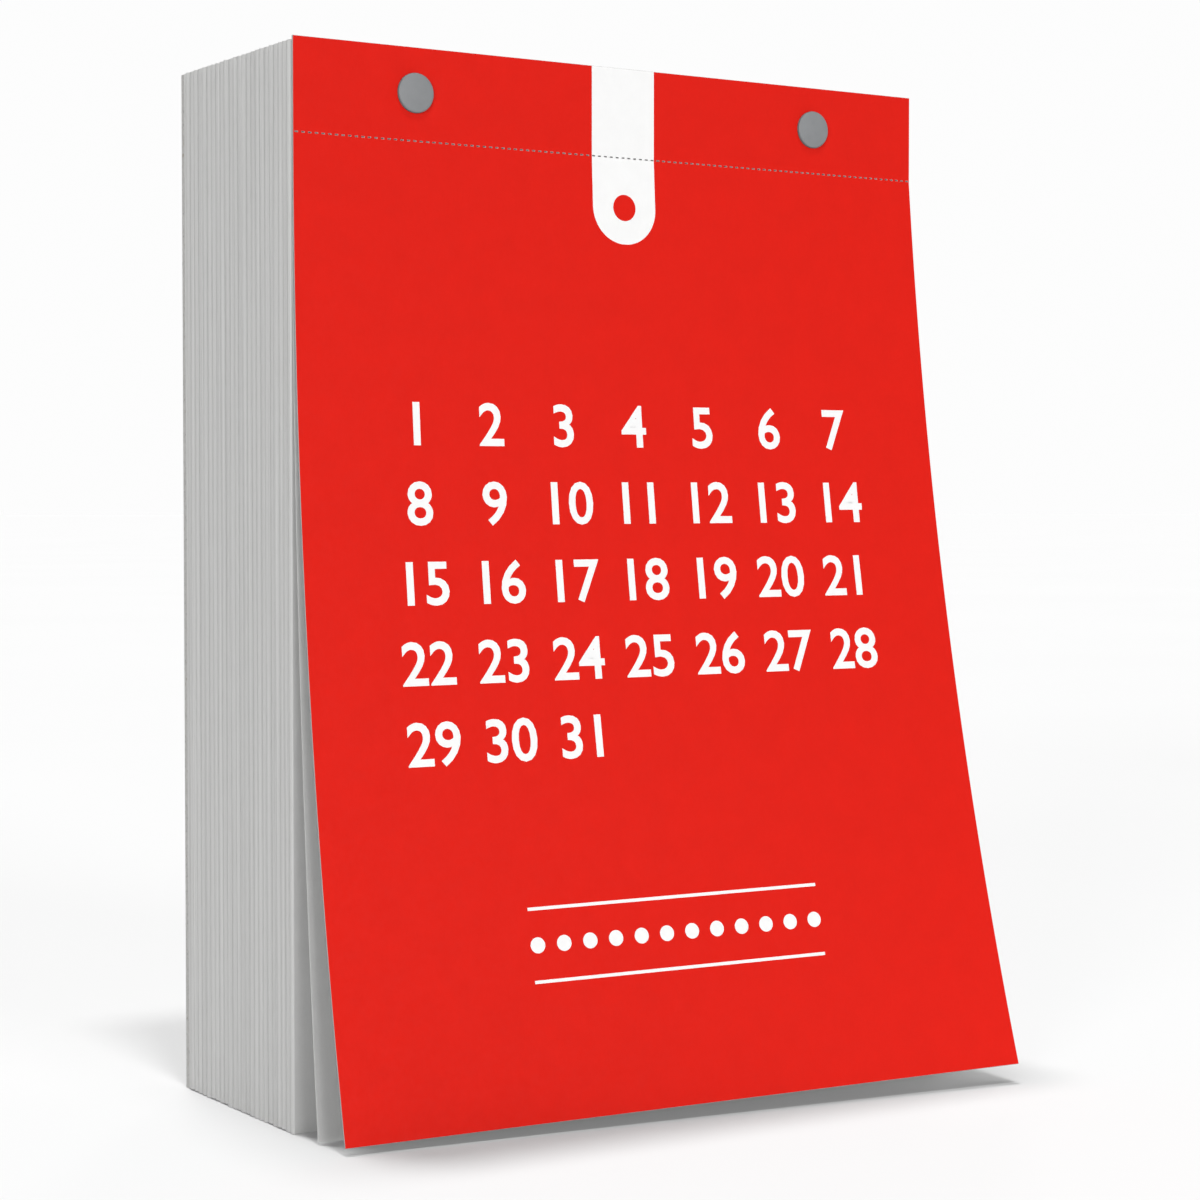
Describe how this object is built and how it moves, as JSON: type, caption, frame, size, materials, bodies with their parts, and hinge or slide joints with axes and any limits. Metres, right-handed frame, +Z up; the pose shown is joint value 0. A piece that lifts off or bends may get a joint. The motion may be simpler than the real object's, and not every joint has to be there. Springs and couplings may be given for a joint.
{
  "type": "tear-off day calendar",
  "caption": "Upright block of day leaves riveted at the top to a backing board, with a curled, perforated cover and first leaf that lift and tear off.",
  "frame": {"origin": "middle of the block's foot, on the surface that it stands on", "axes": "+Z up along the leaves, -Y the way the cover faces, +X to the right as the cover is read"},
  "size_m": [0.105, 0.0642, 0.148],
  "materials": {
    "cover_card": "matt printed card",
    "leaf_paper": "uncoated paper",
    "greyboard": "raw pale greyboard",
    "rivet_plastic": "smooth moulded"
  },
  "bodies": {
    "block": {"backing_board": "greyboard", "january_leaves": "leaf_paper", "february_leaves": "leaf_paper", "march_leaves": "leaf_paper", "april_leaves": "leaf_paper", "may_leaves": "leaf_paper", "june_leaves": "leaf_paper", "july_leaves": "leaf_paper", "august_leaves": "leaf_paper", "september_leaves": "leaf_paper", "october_leaves": "leaf_paper", "november_leaves": "leaf_paper", "december_leaves": "leaf_paper", "first_leaf_stub": "leaf_paper", "cover_stub": "cover_card", "rivet_post_left": "rivet_plastic", "rivet_post_right": "rivet_plastic", "rivet_cap_left": "rivet_plastic", "rivet_cap_right": "rivet_plastic"},
    "first_leaf_fold": {"first_leaf_ties": "leaf_paper"},
    "first_leaf": {"first_leaf": "leaf_paper"},
    "cover_fold": {"cover_ties": "cover_card"},
    "cover": {"cover_sheet": "cover_card"}
  },
  "joints": [
    {"name": "first_leaf_lift", "type": "hinge", "parent": "block", "child": "first_leaf_fold", "pos_m": [0, -0.01839, 0.13545], "axis": [-1, 0, 0], "range_deg": [0, 80]},
    {"name": "first_leaf_tear", "type": "slide", "parent": "first_leaf_fold", "child": "first_leaf", "axis": [1, 0, 0], "range_m": [0, 0.11]},
    {"name": "cover_lift", "type": "hinge", "parent": "first_leaf_fold", "child": "cover_fold", "pos_m": [0, -0.01839, 0.13545], "axis": [-1, 0, 0], "range_deg": [0, 80]},
    {"name": "cover_tear", "type": "slide", "parent": "cover_fold", "child": "cover", "axis": [1, 0, 0], "range_m": [0, 0.11]}
  ]
}
